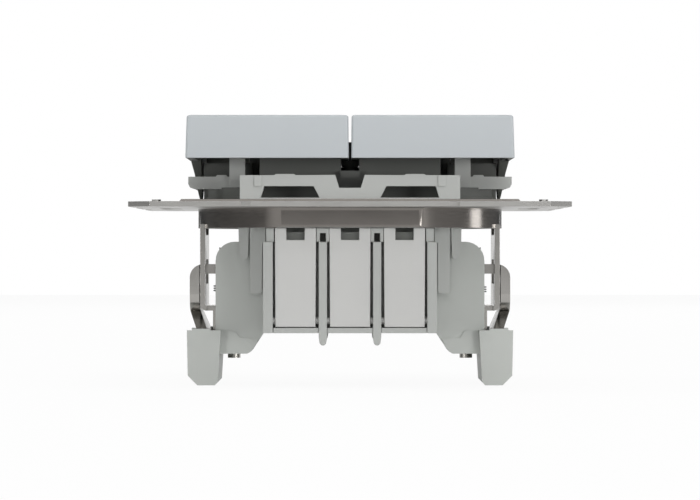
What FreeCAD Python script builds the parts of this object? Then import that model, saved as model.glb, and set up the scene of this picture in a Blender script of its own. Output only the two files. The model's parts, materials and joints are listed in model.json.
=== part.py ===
import FreeCAD, Part
import math
import os

os.makedirs("parts", exist_ok=True)
V = FreeCAD.Vector

# Millimetres. The origin is the centre of the support plate's rear face, +Z points into the room,
# X runs across the two rockers and -Y is the side that the photograph shows.

# Clearances and sheet
RUNNING = 0.05
PLAY = 0.15
CLEAR = 0.3
SHEET = 0.85

# Terminals and the width of their block
TERM_PITCH = 8.9
STRIP_T = 0.8
BUS_HALF = 2.6
CLAMP_T = 0.35
CLAMP_HALF = BUS_HALF - CLEAR
WIRE_HOLE_R = 1.35
WIRE_HOLE_DX = WIRE_HOLE_R + CLEAR
HOUSING_WALL = 0.9
END_WALL = 1.6
POCKET_HALF = BUS_HALF + 0.8
HOUSING_HALF_X = TERM_PITCH + POCKET_HALF + END_WALL
LEVER_HALF = TERM_PITCH / 2 - 1.08
INNER_RIB_IN = TERM_PITCH / 2 - 0.7
INNER_RIB_OUT = TERM_PITCH / 2 + 0.65
OUTER_RIB_IN = TERM_PITCH + LEVER_HALF + 0.33
OUTER_RIB_OUT = HOUSING_HALF_X + CLEAR
YOKE_IN = INNER_RIB_IN - 0.35
YOKE_OUT = INNER_RIB_OUT + 0.35

# Claw screws, slides, legs and claws across the switch
CLAW_T = 1.6
SCREW_R = 1.25
SCREW_TIP_R = SCREW_R - 0.18
SCREW_HEAD_R = 2.4
SCREW_HEAD_H = 1.5
DRIVER_R = 2.2
SCREW_BOSS_R = DRIVER_R + 1.0
SCREW_INSET = 5.35
GUIDE_WALL = 1.2
GUIDE_IN = HOUSING_HALF_X + CLEAR
SCREW_X = GUIDE_IN + SCREW_INSET
STRAP_OUT = SCREW_X + SCREW_R + 1.25 + SHEET
LEG_STEP = 2.05
LEG_OUT = STRAP_OUT + LEG_STEP
GUIDE_OUT = STRAP_OUT - 0.5
FOOT_IN = GUIDE_OUT - 0.95
FOOT_IN_LOW = FOOT_IN + 0.52
CLAW_OUT = LEG_OUT + PLAY + CLAW_T
FOOT_OUT = CLAW_OUT + 0.4
ARM_IN = GUIDE_IN + GUIDE_WALL + 0.6
ARM_HOLE_R = SCREW_R + 0.65
COIL_WIRE = 0.36
COIL_R = LEG_OUT - SHEET - 0.95 - SCREW_X

# Their widths from front to rear
ARM_HALF = 4.3
WIRE_Y = ARM_HALF + 0.9
GUIDE_HALF = ARM_HALF + 2.5 + GUIDE_WALL
STRAP_HALF = GUIDE_HALF - GUIDE_WALL - 0.4
LEG_HALF = GUIDE_HALF + 0.35
LEG_SLOT_HALF = ARM_HALF + CLEAR
RELIEF_HALF = LEG_HALF - 1.85
CLAW_HALF = GUIDE_HALF
TAIL_HALF = CLAW_HALF + 1.0
FOOT_WALL = 0.8
FOOT_HALF = TAIL_HALF + 0.2 + FOOT_WALL
NUT_HALF_X = 1.9
NUT_HALF_Y = 2.4
FINGER_T = 1.7
FINGER_FRONT = GUIDE_HALF + 1.3 + FINGER_T

# Collar and carrier across the switch
COLLAR_R = LEG_OUT + 0.65
CARRIER_R = COLLAR_R - SHEET - 0.25
RING_T = 1.6
FLANGE = 0.15
EAR_IN = CARRIER_R + CLEAR
EAR_T = 1.8
ROCKER_HALF = EAR_IN + EAR_T
BAR_OUT = ROCKER_HALF + PLAY
BEARING_T = 1.2
BEARING_OUT = SCREW_X - SCREW_BOSS_R + RUNNING
BEARING_IN = BEARING_OUT - BEARING_T
WINDOW_HALF_X = BEARING_IN - 0.6
POST_W = 2.6
POST_IN = BEARING_OUT + 0.9
POST_OUT = POST_IN + POST_W
BEAM_HALF = POST_IN + 0.55
BAR_IN = POST_IN + 1.3
CENTRE_RIB_HALF = 0.9
TOGGLE_IN = CENTRE_RIB_HALF + 0.6
TOGGLE_OUT = BEARING_IN - CLEAR
GANG_X = (TOGGLE_IN + TOGGLE_OUT) / 2

# Terminal block, levers and carrier from front to rear
HOUSING_WALL_Y = 17.5
BUS_Y = HOUSING_WALL_Y - 5.9
WIRE_HOLE_Y = HOUSING_WALL_Y - 3.6
LEVER_T = 1.65
LEVER_BACK = HOUSING_WALL_Y + 1.25
LEVER_FRONT = LEVER_BACK + LEVER_T
LEVER_PIN_R = 0.6
LEVER_PIN_Y = LEVER_BACK + 0.65
LEVER_WINDOW_HALF = 1.5
LEVER_TAB_HALF = 1.2
RIB_FRONT = LEVER_FRONT + 0.6
COLLAR_FLAT = LEVER_FRONT + 1.55 + SHEET
CARRIER_FLAT = COLLAR_FLAT - SHEET - 0.1
BEAM_BACK = CARRIER_FLAT - 0.85
BEAM_FRONT = CARRIER_R
TOGGLE_HALF_Y = 15.0
WINDOW_HALF_Y = TOGGLE_HALF_Y - 2.0
CHAMBER_Y = TOGGLE_HALF_Y + 0.6
CHAMBER_T = 1.0
BAR_BACK = 10.2
BAR_T = 2.0
BAR_FRONT = BAR_BACK + BAR_T
POST_FRONT = BAR_FRONT + 1.4
BEARING_HALF = 4.0
WEB_Y = BEARING_HALF + 1.0
WEB_T = 1.0
CENTRE_RIB_Y = 3.4
RIB_NOTCH_HALF = CENTRE_RIB_Y + 1.8
EAR_HALF = BAR_BACK - 2.2

# Support plate
PLATE_W = 71.0
CORNER_CUT = 3.6
ISLAND_HALF = COLLAR_R + 2.0
ISLAND_TOP_HALF = ISLAND_HALF - 0.4
ISLAND_RISE = 0.45
ISLAND_TOP = SHEET + ISLAND_RISE
BEAD_HALF = 12.8
BEAD_RISE = 0.15
EDGE_NOTCH_X = 16.6
EDGE_NOTCH_W = 1.6
EDGE_NOTCH_DEPTH = 1.2
SLOT_AT = (PLATE_W / 2 + COLLAR_R) / 2 - 0.4
SLOT_W = 3.6
SLOT_L = 12.0
SCREW_HOLE_X = SLOT_AT + 0.35
SCREW_HOLE_Y = 23.0
SCREW_HOLE_R = 1.7
SIDE_NOTCH_DEPTH = 1.2
SIDE_NOTCH_Y0 = 9.0
SIDE_NOTCH_L = 8.0
STUD_X = PLATE_W / 2 - SIDE_NOTCH_DEPTH - 2.4
STUD_Y = 14.5
STUD_R = 0.8
STUD_H = 0.55

# Heights above the wall
BEAM_TOP = ISLAND_TOP + 3.95
BEAM_BAR = BEAM_TOP - 1.82
BAR_TOP = BEAM_TOP - 0.05
BAR_BOTTOM = BAR_TOP - 2.05
RING_TOP = ISLAND_TOP + 2.1
RING_FRONT_TOP = ISLAND_TOP + CLEAR
DECK_T = 0.25
HINGE_Z = BEAM_TOP + 0.25
TRUNNION_R = 1.5
EAR_R = HINGE_Z - ISLAND_TOP - CLEAR
ROCKER_BOTTOM = HINGE_Z + 2.44
ROCKER_H = 6.96
ROCKER_TOP = ROCKER_BOTTOM + ROCKER_H
ROCKER_DRAFT = 0.22
ROCKER_GAP_TOP = 0.53
ROCKER_GAP_BOTTOM = 0.40
ROCKER_WALL = 1.2
ROCKER_ROOF = 1.4
ROCKER_EDGE = 0.4
RIB_NOTCH_TOP = ROCKER_TOP - 3.0
CENTRE_RIB_TOP = RIB_NOTCH_TOP - 0.75
POST_TOP = ROCKER_TOP - ROCKER_ROOF - 1.3
BEARING_TOP = HINGE_Z + 2.7
WEB_TOP = HINGE_Z + 2.1
TOGGLE_BOTTOM = HINGE_Z - 0.9
TOGGLE_WALL = 1.2
CHAMBER_TOP = TOGGLE_BOTTOM + 0.2
DRIVER_TUBE_TOP = ISLAND_TOP - 0.1

# Snap action, down from the hinge
BOSS_R = 3.2
BOSS_BOTTOM = HINGE_Z - 6.5
PLUNGER_R = 1.9
PLUNGER_BORE_R = PLUNGER_R + 0.1
PLUNGER_TOP = HINGE_Z - 3.0
BORE_TOP = HINGE_Z + 1.0
TIP_R = 1.3
TIP_BOTTOM = HINGE_Z - 9.4
BRIDGE_HALF_X = 1.8
BRIDGE_T = 0.6
CONTACT_R = 1.2
CONTACT_Y = 5.2
BRIDGE_HALF_Y = CONTACT_Y + CONTACT_R
BRIDGE_CONTACT_T = 0.6
FIXED_CONTACT_TOP = TIP_BOTTOM - 2.0
CONTACT_T = 0.5
COMMON_TOP = FIXED_CONTACT_TOP - 4.5
BUS_BOTTOM = COMMON_TOP - 6.0

# Heights below the wall
COLLAR_DEPTH = 3.3
COLLAR_BOTTOM = -COLLAR_DEPTH
CARRIER_BOTTOM = COLLAR_BOTTOM + CLEAR
FLOOR_T = 1.4
HOUSING_TOP = CARRIER_BOTTOM - RUNNING
FACE_TOP = COLLAR_BOTTOM - RUNNING
RIB_TOP = HOUSING_TOP - 2.55
POCKET_TOP = FIXED_CONTACT_TOP - CONTACT_T + 0.2
SWITCH_FLOOR = COMMON_TOP - STRIP_T - RUNNING
HOUSING_BOTTOM = SWITCH_FLOOR - 7.25
COVER_T = 2.0
COVER_BOTTOM = HOUSING_BOTTOM - COVER_T
LEDGE_TOP = COVER_BOTTOM + 0.86
INNER_RIB_BOTTOM = COVER_BOTTOM - 2.0
LEVER_BOTTOM = LEDGE_TOP + 0.14
LEVER_WINDOW_BOTTOM = FACE_TOP - 1.95
LEVER_PIN_Z = HOUSING_BOTTOM
TAB_TOP = HOUSING_TOP - 5.95
TAB_H = 1.6
TAB_BOTTOM = TAB_TOP - TAB_H

# Heights of the claws and slides
GUIDE_TRAVEL = 2.4
GUIDE_TOP = CARRIER_BOTTOM - GUIDE_TRAVEL - PLAY
GUIDE_SHOULDER_R = 3.2
ARM_TOP = GUIDE_TOP - GUIDE_WALL - 2.55
SCREW_SEAT = ARM_TOP + RUNNING
COIL_TOP = ARM_TOP - CLAW_T - 2.1
COIL_H = 1.3
LEG_SLOT_TOP = ARM_TOP + 0.8
LEG_SLOT_BOTTOM = ARM_TOP - CLAW_T - 1.7
LEG_BOTTOM = LEG_SLOT_BOTTOM - 4.45
BEND_IN = 0.25
RELIEF_H = 1.1
STRAP_BOTTOM = LEG_BOTTOM - 3.85
COLUMN_BOTTOM = LEG_BOTTOM - RUNNING
TAIL_DROP = 4.1
TAIL_END = COLUMN_BOTTOM - TAIL_DROP
TAIL_SLOPE = math.radians(21.4)
FOOT_TOP = TAIL_END + 0.94
FOOT_H = 9.14
FOOT_BOTTOM = FOOT_TOP - FOOT_H
FOOT_CHAMFER = 1.6
RAMP_PLAY = 0.22
GUIDE_BOTTOM = FOOT_TOP - 3.94
NUT_H = 2.0
NUT_BOTTOM = GUIDE_BOTTOM + 1.8
SCREW_TIP = GUIDE_BOTTOM - 0.9


def box(x0, x1, y0, y1, z0, z1):
    return Part.makeBox(x1 - x0, y1 - y0, z1 - z0, V(x0, y0, z0))


def rod(radius, start, end):
    a = V(*start)
    d = V(*end) - a
    return Part.makeCylinder(radius, d.Length, a, d)


# A many-sided pin; a hole made with peg_hole clears a pin of the given radius at any angle.
def peg(radius, start, end, sides=12):
    a = V(*start)
    axis = V(*end) - a
    side = V(1, 0, 0) if abs(axis.x) < 1e-9 else V(0, 1, 0)
    up = axis.cross(side)
    up.normalize()
    ring = []
    for i in range(sides):
        angle = 2 * math.pi * (i + 0.5) / sides
        ring.append(a + side * (radius * math.cos(angle)) + up * (radius * math.sin(angle)))
    return Part.Face(Part.makePolygon(ring + ring[:1])).extrude(axis)


def peg_hole(radius, start, end, sides=12):
    return peg(radius / math.cos(math.pi / sides), start, end, sides)


def prism_xz(points, y0, y1):
    ring = [V(x, y0, z) for x, z in points]
    return Part.Face(Part.makePolygon(ring + ring[:1])).extrude(V(0, y1 - y0, 0))


def prism_yz(points, x0, x1):
    ring = [V(x0, y, z) for y, z in points]
    return Part.Face(Part.makePolygon(ring + ring[:1])).extrude(V(x1 - x0, 0, 0))


def prism_xy(points, z0, z1):
    ring = [V(x, y, z0) for x, y in points]
    return Part.Face(Part.makePolygon(ring + ring[:1])).extrude(V(0, 0, z1 - z0))


def arc_points(cx, cy, r, a0, a1, n):
    out = []
    for i in range(n + 1):
        a = math.radians(a0 + (a1 - a0) * i / n)
        out.append((cx + r * math.cos(a), cy + r * math.sin(a)))
    return out


def direction(a, b):
    d = math.hypot(b[0] - a[0], b[1] - a[1])
    return (b[0] - a[0]) / d, (b[1] - a[1]) / d


def strip_outline(path, t):
    left = []
    right = []
    last = len(path) - 1
    for i, (a, b) in enumerate(path):
        d0 = direction(path[max(i - 1, 0)], path[max(i, 1)])
        d1 = direction(path[min(i, last - 1)], path[min(i + 1, last)])
        reach = t / 2 / (1 + d0[0] * d1[0] + d0[1] * d1[1])
        nx = -(d0[1] + d1[1]) * reach
        ny = (d0[0] + d1[0]) * reach
        left.append((a + nx, b + ny))
        right.append((a - nx, b - ny))
    return left + right[::-1]


def mirror_x(shape):
    return shape.mirror(V(0, 0, 0), V(1, 0, 0))


def mirror_y(shape):
    return shape.mirror(V(0, 0, 0), V(0, 1, 0))


def both_y(shape):
    return shape.fuse(mirror_y(shape))


def both_x(shape):
    return shape.fuse(mirror_x(shape))


def flat_sided_disc(radius, flat, z0, z1):
    disc = rod(radius, (0, 0, z0), (0, 0, z1))
    return disc.common(box(-radius, radius, -flat, flat, z0, z1))


def frustum(half_x0, half_x1, z0, z1):
    def ring(h, z):
        pts = [V(-h, -h, z), V(h, -h, z), V(h, h, z), V(-h, h, z)]
        return Part.makePolygon(pts + pts[:1])

    return Part.makeLoft([ring(half_x0, z0), ring(half_x1, z1)], True, True)


# The steel plate with its pressed island, drawn collar and two bent legs.
def support_plate():
    h = PLATE_W / 2
    c = h - CORNER_CUT
    outline = [(-c, -h), (c, -h), (h, -c), (h, c), (c, h), (-c, h), (-h, c), (-h, -c)]
    plate = prism_xy(outline, 0, SHEET)
    plate = plate.fuse(frustum(ISLAND_HALF, ISLAND_TOP_HALF, SHEET, ISLAND_TOP))
    edge = ISLAND_TOP_HALF
    bead = box(-BEAD_HALF, BEAD_HALF, -edge, -edge + 1.5, ISLAND_TOP, ISLAND_TOP + BEAD_RISE)
    plate = plate.fuse(both_y(bead))
    plate = plate.fuse(flat_sided_disc(COLLAR_R, COLLAR_FLAT, COLLAR_BOTTOM, SHEET))
    plate = plate.fuse(both_x(leg()))
    inner = flat_sided_disc(COLLAR_R - SHEET, COLLAR_FLAT - SHEET, COLLAR_BOTTOM - 0.01, ISLAND_TOP + 1)
    plate = plate.cut(inner)
    low, high = -SHEET, ISLAND_TOP + 1
    cuts = []
    for sx in (-1, 1):
        x = sx * EDGE_NOTCH_X
        w = EDGE_NOTCH_W / 2
        for sy in (-1, 1):
            y0, y1 = sorted((sy * (h - EDGE_NOTCH_DEPTH), sy * (h + 1)))
            cuts.append(box(x - w, x + w, y0, y1, low, high))
            cuts.append(rod(SCREW_HOLE_R, (sx * SCREW_HOLE_X, sy * SCREW_HOLE_Y, low),
                            (sx * SCREW_HOLE_X, sy * SCREW_HOLE_Y, high)))
            x0, x1 = sorted((sx * (h - SIDE_NOTCH_DEPTH), sx * (h + 1)))
            n0, n1 = sorted((sy * SIDE_NOTCH_Y0, sy * (SIDE_NOTCH_Y0 + SIDE_NOTCH_L)))
            cuts.append(box(x0, x1, n0, n1, low, high))
        cuts.append(tangent_slot(sx * SLOT_AT, 0, low, high))
        cuts.append(tangent_slot(0, sx * SLOT_AT, low, high))
    for cut in cuts:
        plate = plate.cut(cut)
    for sx in (-1, 1):
        for sy in (-1, 1):
            x, y = sx * STUD_X, sy * STUD_Y
            stud = peg(STUD_R, (x, y, SHEET), (x, y, SHEET + STUD_H), 8)
            plate = plate.fuse(stud)
    return plate.removeSplitter()


def tangent_slot(x, y, low, high):
    r = SLOT_W / 2
    run = SLOT_L / 2 - r
    dx, dy = (0, run) if x else (run, 0)
    shape = rod(r, (x - dx, y - dy, low), (x - dx, y - dy, high))
    shape = shape.fuse(rod(r, (x + dx, y + dy, low), (x + dx, y + dy, high)))
    wx, wy = (r, run) if x else (run, r)
    return shape.fuse(box(x - wx, x + wx, y - wy, y + wy, low, high))


# A leg drops from the collar, turns in under the claw's arm and ends in a strap that the slide runs on.
def leg():
    inside = LEG_OUT - SHEET
    strap_in = STRAP_OUT - SHEET
    r = BEND_IN + SHEET
    top = COLLAR_BOTTOM + 0.7
    bend = arc_points(LEG_OUT - r, LEG_BOTTOM + r, r, 0, -90, 5)
    inner_bend = arc_points(LEG_OUT - r, LEG_BOTTOM + r, BEND_IN, -90, 0, 3)
    strip = prism_xz([(inside, top), (LEG_OUT, top)] + bend + inner_bend, -LEG_HALF, LEG_HALF)
    rung = [(strap_in, LEG_BOTTOM), (LEG_OUT - r, LEG_BOTTOM),
            (LEG_OUT - r, LEG_BOTTOM + SHEET), (strap_in, LEG_BOTTOM + SHEET)]
    strip = strip.fuse(prism_xz(rung, -STRAP_HALF, STRAP_HALF))
    strip = strip.fuse(box(strap_in, STRAP_OUT, -STRAP_HALF, STRAP_HALF, STRAP_BOTTOM, LEG_BOTTOM + SHEET))
    strip = strip.cut(box(inside - 1, LEG_OUT + 1, -LEG_SLOT_HALF, LEG_SLOT_HALF, LEG_SLOT_BOTTOM, LEG_SLOT_TOP))
    relief = [(-RELIEF_HALF, COLLAR_BOTTOM), (RELIEF_HALF, COLLAR_BOTTOM),
              (RELIEF_HALF - 1.0, COLLAR_BOTTOM - RELIEF_H), (1.0 - RELIEF_HALF, COLLAR_BOTTOM - RELIEF_H)]
    return strip.cut(prism_yz(relief, inside - 1, LEG_OUT + 1))


def rounded_ring(x0, x1, half_y, r, z):
    pts = []
    for cx, cy, a0 in ((x1 - r, half_y - r, 0), (x0 + r, half_y - r, 90),
                       (x0 + r, r - half_y, 180), (x1 - r, r - half_y, 270)):
        pts += [V(x, y, z) for x, y in arc_points(cx, cy, r, a0, a0 + 90, 3)]
    return Part.makePolygon(pts + pts[:1])


# One drafted cap with softly rounded edges, hollow below, with a pivot ear on its outer wall.
def rocker_cap():
    r = ROCKER_EDGE

    def ring(z, inset, corner):
        up = (z - ROCKER_BOTTOM) / ROCKER_H
        x0 = (ROCKER_GAP_BOTTOM + (ROCKER_GAP_TOP - ROCKER_GAP_BOTTOM) * up) / 2
        x1 = ROCKER_HALF - ROCKER_DRAFT * up
        return rounded_ring(x0 + inset, x1 - inset, x1 - inset, corner, z)

    levels = [ring(ROCKER_BOTTOM, 0, r), ring(ROCKER_TOP - r, 0, r)]
    for a in (30, 60, 90):
        t = math.radians(a)
        inset = r * (1 - math.cos(t))
        levels.append(ring(ROCKER_TOP - r + r * math.sin(t), inset, r))
    outer = Part.makeLoft(levels, True, True)
    w = ROCKER_WALL
    roof = ROCKER_TOP - ROCKER_ROOF
    wall_in = ROCKER_GAP_TOP / 2 + w
    wall_out = ROCKER_HALF - ROCKER_DRAFT - w
    cap = outer.cut(box(wall_in, wall_out, -wall_out, wall_out, ROCKER_BOTTOM - 1, roof))
    cap = cap.cut(box(-1, wall_in + 0.5, -RIB_NOTCH_HALF, RIB_NOTCH_HALF, ROCKER_BOTTOM - 1, RIB_NOTCH_TOP))
    low = HINGE_Z - EAR_R
    profile = [(EAR_IN, roof + 0.2), (EAR_IN, low), (EAR_IN + 0.5, low), (EAR_IN + 0.8, low + 1.6),
               (EAR_IN + 1.2, HINGE_Z + 0.3), (ROCKER_HALF - 0.1, ROCKER_BOTTOM), (ROCKER_HALF - 0.6, roof + 0.2)]
    ear = prism_xz(profile, -EAR_HALF, EAR_HALF)
    face = arc_points(0, HINGE_Z, EAR_R, 200, 340, 10)
    face += [(EAR_HALF, ROCKER_BOTTOM), (EAR_HALF, roof + 0.2), (-EAR_HALF, roof + 0.2), (-EAR_HALF, ROCKER_BOTTOM)]
    ear = ear.common(prism_yz(face, EAR_IN - 1, ROCKER_HALF + 1))
    return cap.fuse(ear).removeSplitter()


# The lever under a cap, with its trunnions and the sleeve of the plunger.
def toggle():
    top = ROCKER_TOP - ROCKER_ROOF
    w = TOGGLE_WALL
    body = box(TOGGLE_IN, TOGGLE_OUT, -TOGGLE_HALF_Y, TOGGLE_HALF_Y, TOGGLE_BOTTOM, top)
    body = body.cut(box(TOGGLE_IN + w, TOGGLE_OUT - w, -TOGGLE_HALF_Y + w, TOGGLE_HALF_Y - w,
                        TOGGLE_BOTTOM - 1, top - w))
    body = body.fuse(peg(BOSS_R, (GANG_X, 0, BOSS_BOTTOM), (GANG_X, 0, top - w / 2)))
    body = body.cut(peg_hole(PLUNGER_BORE_R, (GANG_X, 0, BOSS_BOTTOM - 1), (GANG_X, 0, BORE_TOP)))
    body = body.fuse(rod(TRUNNION_R, (0.1, 0, HINGE_Z), (TOGGLE_IN + w, 0, HINGE_Z)))
    body = body.fuse(rod(TRUNNION_R, (TOGGLE_OUT - w, 0, HINGE_Z), (BEARING_OUT, 0, HINGE_Z)))
    return body.removeSplitter()


def plunger():
    shoulder = TIP_BOTTOM + TIP_R
    body = peg(PLUNGER_R, (GANG_X, 0, shoulder + 0.4), (GANG_X, 0, PLUNGER_TOP))
    for half, drop in ((TIP_R, 0.0), (TIP_R * 0.8, 0.7), (TIP_R * 0.45, 1.0)):
        body = body.fuse(peg(half, (GANG_X, 0, shoulder - drop * TIP_R), (GANG_X, 0, shoulder + 0.5), 8))
    return body.removeSplitter()


def plunger_spring():
    outer = peg(PLUNGER_R - 0.1, (GANG_X, 0, PLUNGER_TOP), (GANG_X, 0, BORE_TOP))
    return outer.cut(peg(PLUNGER_R - 0.5, (GANG_X, 0, PLUNGER_TOP - 1), (GANG_X, 0, BORE_TOP + 1)))


# The see-saw strip with a contact under each end.
def contact_bridge():
    top = TIP_BOTTOM - RUNNING
    low = top - BRIDGE_T
    body = box(GANG_X - BRIDGE_HALF_X, GANG_X + BRIDGE_HALF_X, -BRIDGE_HALF_Y, BRIDGE_HALF_Y, low, top)
    for y in (-CONTACT_Y, CONTACT_Y):
        body = body.fuse(peg(CONTACT_R, (GANG_X, y, low - BRIDGE_CONTACT_T), (GANG_X, y, low), 8))
    return body.removeSplitter()


# The terminal that the bridge rocks on, led to the rear clamp in the middle.
def common_terminal():
    knife = TIP_BOTTOM - RUNNING - BRIDGE_T - RUNNING
    x0, x1 = GANG_X - BRIDGE_HALF_X, GANG_X + BRIDGE_HALF_X
    low = COMMON_TOP - STRIP_T
    post = [(-0.4, low), (0.4, low), (0.4, knife - 0.5), (0.1, knife), (-0.1, knife), (-0.4, knife - 0.5)]
    body = prism_yz(post, x0, x1)
    body = body.fuse(box(x0, x1, -0.4, 3.3, low, COMMON_TOP))
    body = body.fuse(box(-BRIDGE_HALF_X, x1, 0.3, 3.3, low, COMMON_TOP))
    body = body.fuse(box(-BRIDGE_HALF_X, BRIDGE_HALF_X, 0.3, BUS_Y + STRIP_T, low, COMMON_TOP))
    body = body.fuse(box(-BUS_HALF, BUS_HALF, BUS_Y, BUS_Y + STRIP_T, BUS_BOTTOM, COMMON_TOP))
    return body.removeSplitter()


# A traveller terminal: fixed contact, strip and clamp plate.
def traveller_terminal():
    top = FIXED_CONTACT_TOP - CONTACT_T
    x0, x1 = GANG_X - BRIDGE_HALF_X, GANG_X + BRIDGE_HALF_X
    body = peg(CONTACT_R, (GANG_X, CONTACT_Y, top - 0.1), (GANG_X, CONTACT_Y, FIXED_CONTACT_TOP), 8)
    body = body.fuse(box(x0, x1, CONTACT_Y - CONTACT_R - 0.2, BUS_Y + STRIP_T, top - STRIP_T, top))
    body = body.fuse(box(TERM_PITCH - BUS_HALF, TERM_PITCH + BUS_HALF, BUS_Y, BUS_Y + STRIP_T, BUS_BOTTOM, top))
    return body.removeSplitter()


def clamp_spring(x):
    back = HOUSING_WALL_Y - 1.9
    low = HOUSING_BOTTOM
    path = [(back, low + 1.9), (back, low + 9.9), (back - 0.7, low + 10.8), (back - 1.5, low + 10.5),
            (BUS_Y + 1.15, low + 4.9)]
    return prism_yz(strip_outline(path, CLAMP_T), x - CLAMP_HALF, x + CLAMP_HALF)


# The moulded frame on the plate: beams, ring, chamber walls, side bars, bearings, webs and guide fingers.
def carrier():
    top = ISLAND_TOP
    floor = CARRIER_BOTTOM + FLOOR_T
    body = flat_sided_disc(CARRIER_R, CARRIER_FLAT, CARRIER_BOTTOM, RING_TOP)
    body = body.fuse(flat_sided_disc(CARRIER_R + FLANGE, CARRIER_FLAT + FLANGE, top + RUNNING, top + 0.6))
    body = body.cut(flat_sided_disc(CARRIER_R - RING_T, CARRIER_FLAT - RING_T, floor, RING_TOP + 1))
    reach = CARRIER_R + FLANGE
    body = body.cut(box(-BEAM_HALF + CLEAR, BEAM_HALF - CLEAR, -reach, reach, RING_FRONT_TOP, RING_TOP + 1))
    body = body.cut(box(-WINDOW_HALF_X, WINDOW_HALF_X, -WINDOW_HALF_Y, WINDOW_HALF_Y, CARRIER_BOTTOM - 1, floor + 0.1))
    deck = box(-BEAM_HALF, BEAM_HALF, -BEAM_FRONT, -BEAM_BACK + 1, top, top + DECK_T)
    pieces = [front_beam(top), deck, chamber_wall()]
    half = [peg(SCREW_BOSS_R, (SCREW_X, 0, CARRIER_BOTTOM), (SCREW_X, 0, DRIVER_TUBE_TOP))]
    half.append(box(BEARING_IN, BEARING_OUT, -BEARING_HALF, BEARING_HALF, CARRIER_BOTTOM, BEARING_TOP))
    half.append(side_bar())
    half.append(side_web())
    half.append(box(BEAM_HALF - 2.4, BEAM_HALF, -BEAM_BACK - 0.5, -CARRIER_FLAT + 5.5, top, RING_TOP))
    half.append(box(POST_IN, POST_OUT, -POST_FRONT, -BAR_BACK, CARRIER_BOTTOM, POST_TOP))
    half.append(guide_fingers())
    for piece in half:
        pieces.append(both_x(piece))
    for piece in pieces:
        body = body.fuse(piece)
        body = body.fuse(mirror_y(piece))
    rib = box(-CENTRE_RIB_HALF, CENTRE_RIB_HALF, -CENTRE_RIB_Y, CENTRE_RIB_Y, CARRIER_BOTTOM, CENTRE_RIB_TOP)
    body = body.fuse(rib)
    body = body.fuse(box(-CENTRE_RIB_HALF, CENTRE_RIB_HALF, -WINDOW_HALF_Y - 0.5, WINDOW_HALF_Y + 0.5,
                         CARRIER_BOTTOM, floor))
    body = body.cut(rod(TRUNNION_R + RUNNING, (-BEARING_OUT - 1, 0, HINGE_Z), (BEARING_OUT + 1, 0, HINGE_Z)))
    for x in (-SCREW_X, SCREW_X):
        body = body.cut(peg_hole(DRIVER_R, (x, 0, CARRIER_BOTTOM - 1), (x, 0, DRIVER_TUBE_TOP + 1)))
    return body.removeSplitter()


def front_beam(bottom):
    t = BEAM_TOP
    h = BEAM_HALF
    half = [(1.75, t - 2.1), (2.4, t), (h - 9.05, t - 0.05), (h - 8.75, t + 0.15), (h - 5.85, t + 0.15),
            (h - 5.55, t - 0.05), (h, t - 0.05), (h, bottom)]
    beam = prism_xz([(-x, z) for x, z in reversed(half)] + half, -BEAM_FRONT, -BEAM_BACK)
    gap = [(h - 3.95, BEAM_BAR), (5.9, BEAM_BAR), (4.75, bottom - 0.1), (h - 3.25, bottom - 0.1)]
    beam = beam.cut(both_x(prism_xz(gap, -BEAM_FRONT - 1, -BEAM_BACK + 1)))
    pad = box(h - 3.55, h - 2.35, -BEAM_FRONT - 0.3, -BEAM_FRONT + 1, BEAM_BAR, t - 0.1)
    return beam.fuse(both_x(pad))


# The wall between a beam and the toggles, with a tab behind the gap between the caps.
def chamber_wall():
    y0, y1 = -CHAMBER_Y - CHAMBER_T, -CHAMBER_Y
    x = BEAM_HALF - 0.85
    wall = box(-x, x, y0, y1, CARRIER_BOTTOM, CHAMBER_TOP)
    tab = CENTRE_RIB_HALF + 0.7
    return wall.fuse(box(-tab, tab, y0, y1, CARRIER_BOTTOM, HINGE_Z + 0.6))


# The web between a bearing and the ring, beside the claw screw; its upper end overhangs the plate.
def side_web():
    over = ISLAND_TOP + RUNNING
    outer = EAR_IN - 0.4
    inner = CARRIER_R - RING_T + 0.1
    outline = [(BEARING_OUT - 0.1, CARRIER_BOTTOM), (inner, CARRIER_BOTTOM), (inner, over), (outer, over),
               (outer, WEB_TOP), (BEARING_OUT - 0.1, WEB_TOP)]
    return prism_xz(outline, -WEB_Y - WEB_T, -WEB_Y)


def side_bar():
    z0, z1 = BAR_BOTTOM, BAR_TOP
    x = BAR_IN
    outline = [(x, z0), (BAR_OUT - 1.0, z0), (BAR_OUT - 0.3, z0 + 0.25), (BAR_OUT, z0 + 0.8), (BAR_OUT, z1),
               (x + 3.6, z1), (x + 3.4, z1 + 0.28), (x + 1.9, z1 + 0.28), (x + 1.7, z1), (x, z1)]
    return prism_xz(outline, -BAR_FRONT, -BAR_BACK)


def guide_fingers():
    y0, y1 = -FINGER_FRONT, -FINGER_FRONT + FINGER_T
    x = HOUSING_HALF_X
    z = CARRIER_BOTTOM
    short = [(x + 2.85, z + 0.1), (x + 4.6, z + 0.1), (x + 4.55, z - 3.4), (x + 4.1, z - 5.0),
             (x + 3.8, z - 5.4), (x + 3.3, z - 5.4), (x + 3.05, z - 5.0)]
    long = [(x + RUNNING, z + 0.1), (x + 2.7, z + 0.1), (x + 2.6, z - 10.8), (x + 2.3, z - 11.15),
            (x + 0.9, z - 11.15), (x + 0.7, z - 10.8), (x + 0.65, z - 2.8), (x + RUNNING, z - 2.6)]
    shape = prism_xz(short, y0 + 0.4, y1)
    return shape.fuse(prism_xz(long, y0, y1))


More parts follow.
